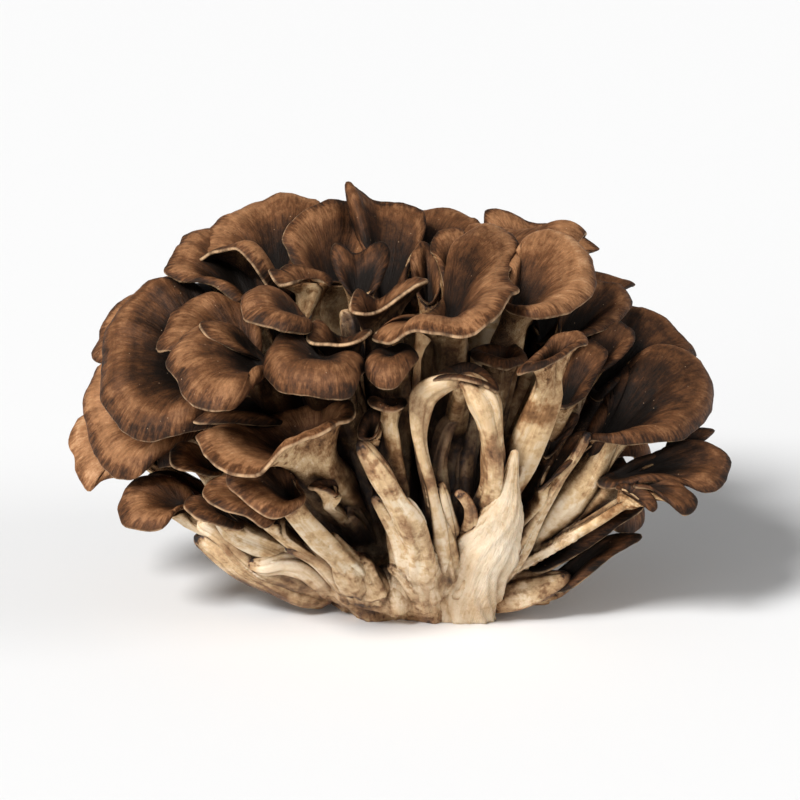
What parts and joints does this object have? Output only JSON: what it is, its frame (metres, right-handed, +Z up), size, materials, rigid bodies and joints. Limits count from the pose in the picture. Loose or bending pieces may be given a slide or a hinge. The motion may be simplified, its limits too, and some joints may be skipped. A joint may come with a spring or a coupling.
{
  "type": "maitake mushroom",
  "caption": "Fresh cluster of maitake (hen of the woods): overlapping thin brown fan-shaped caps on pale branching stems that grow from one foot, cut flat so it stands.",
  "frame": {"origin": "middle of the bounding box at the height of the flat cut under the foot, on the surface that it stands on", "axes": "+Z up out of the cut foot, +X across the front from left to right, -Y towards the front, where the torn stem shows"},
  "size_m": [0.1986, 0.1608, 0.1208],
  "materials": {
    "mushroom_flesh": "dry, matte, fibrous fungus flesh: velvety brown skin on top of the caps, cream pores and stems below"
  },
  "bodies": {
    "root": {"maitake_cluster": "mushroom_flesh"}
  },
  "joints": []
}
